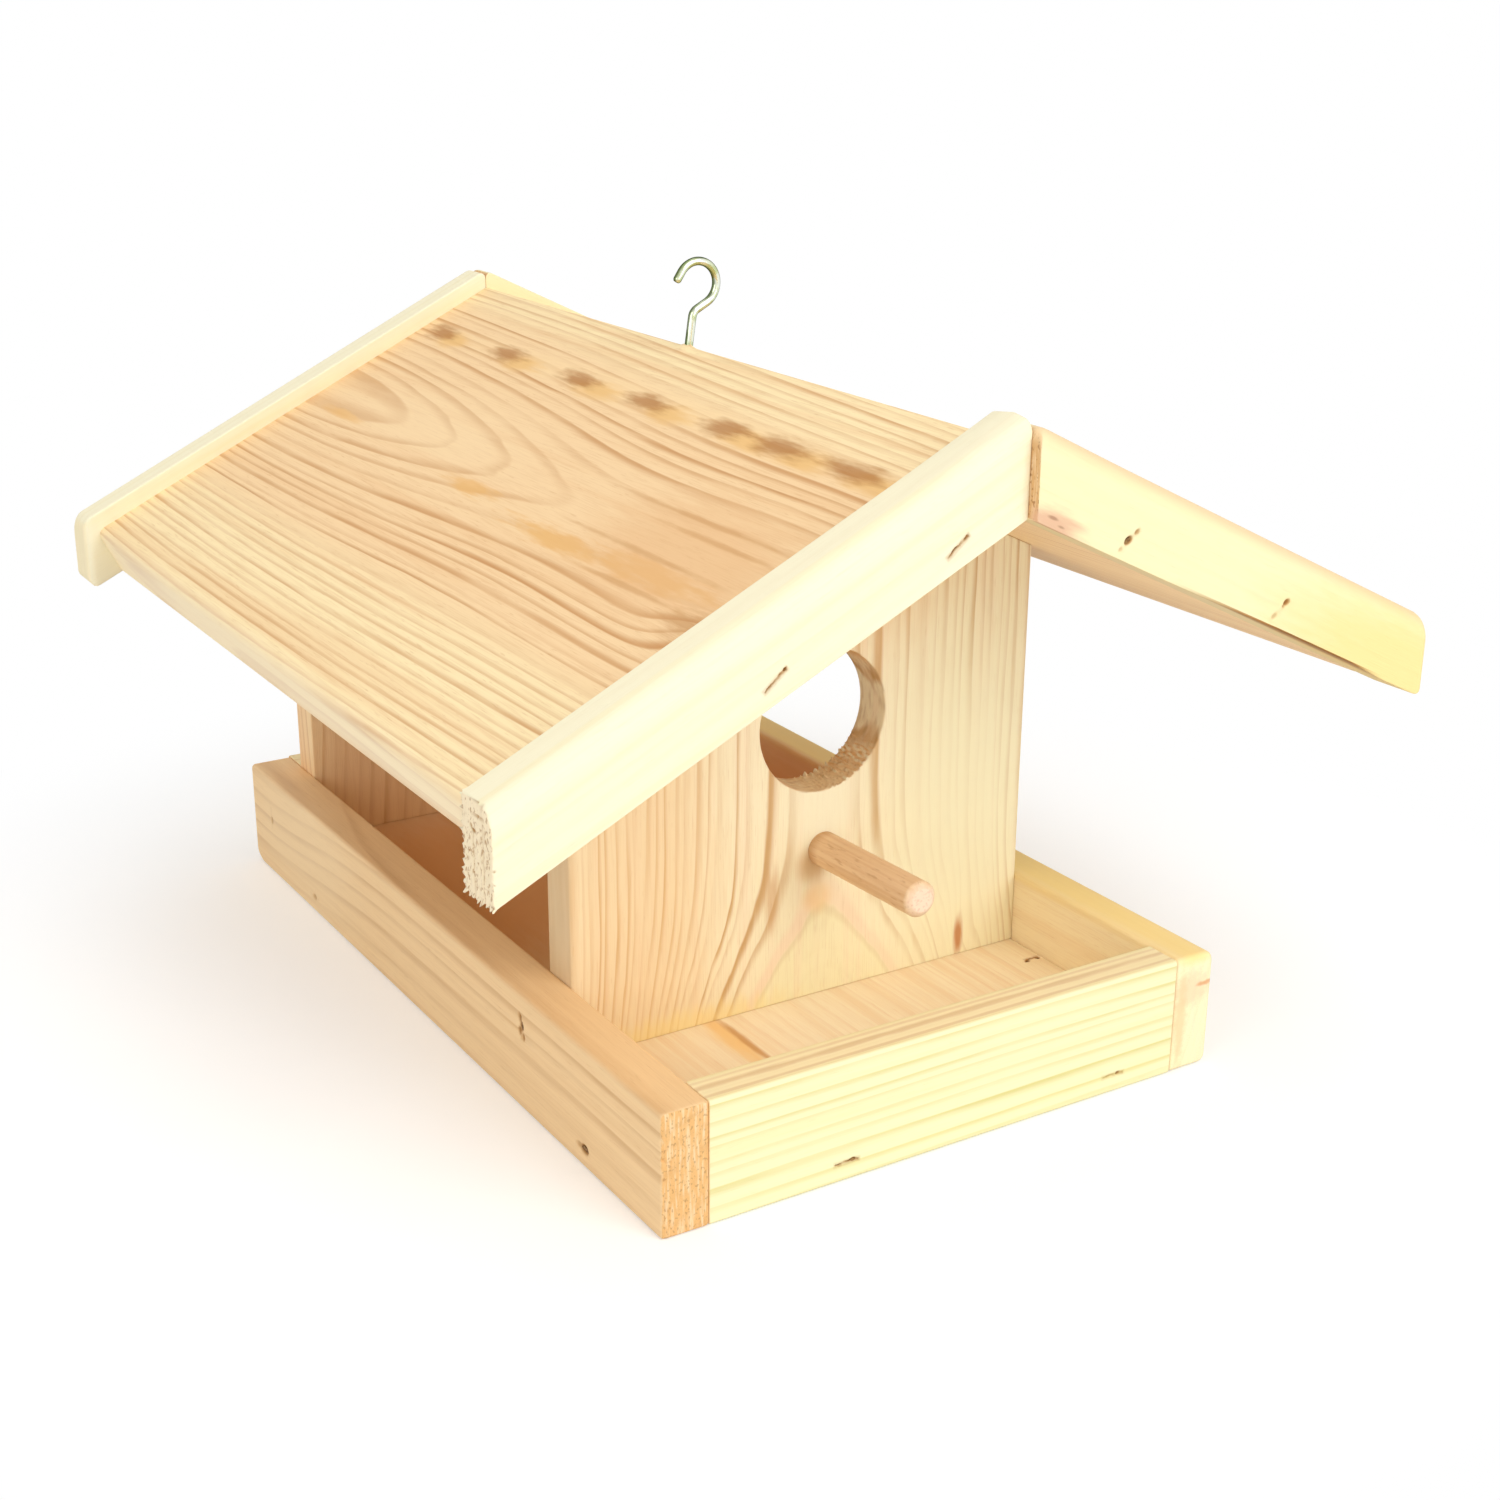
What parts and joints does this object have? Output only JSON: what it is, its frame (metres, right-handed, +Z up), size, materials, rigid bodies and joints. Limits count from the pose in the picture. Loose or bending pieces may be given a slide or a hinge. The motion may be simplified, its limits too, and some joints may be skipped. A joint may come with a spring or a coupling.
{
  "type": "bird feeder",
  "caption": "Wooden hanging bird feeder: railed tray with a porch, gabled house open at its sides, round entrance, dowel perch, overhanging roof with barge strips and a screw hook.",
  "frame": {"origin": "middle of the tray's underside", "axes": "+X to the feeder's right seen from the porch, +Y from the porch to the rear, +Z up"},
  "size_m": [0.3246, 0.3605, 0.2552],
  "materials": {
    "pine": "bare planed pine with visible grain",
    "beech": "bare turned beech",
    "plated_hook": "yellow zinc-plated wire",
    "staple_steel": "dull staple wire with brown rust"
  },
  "bodies": {
    "house": {"floor_board": "pine", "left_rail": "pine", "right_rail": "pine", "front_rail": "pine", "rear_rail": "pine", "front_wall": "pine", "rear_wall": "pine", "ridge_batten": "pine", "left_roof_panel": "pine", "right_roof_panel": "pine", "front_left_barge": "pine", "front_right_barge": "pine", "rear_left_barge": "pine", "rear_right_barge": "pine", "perch_dowel": "beech", "left_rail_staples": "staple_steel", "right_rail_staples": "staple_steel", "front_rail_staples": "staple_steel", "rear_rail_staples": "staple_steel", "porch_staple": "staple_steel", "front_left_barge_staples": "staple_steel", "front_right_barge_staples": "staple_steel", "rear_left_barge_staples": "staple_steel", "rear_right_barge_staples": "staple_steel"},
    "hook": {"screw_hook": "plated_hook"}
  },
  "joints": [
    {"name": "hook_turn", "type": "hinge", "parent": "house", "child": "hook", "pos_m": [0, -0.0036, 0.22429], "axis": [0, 0, 1], "range_deg": [-180, 180]}
  ]
}
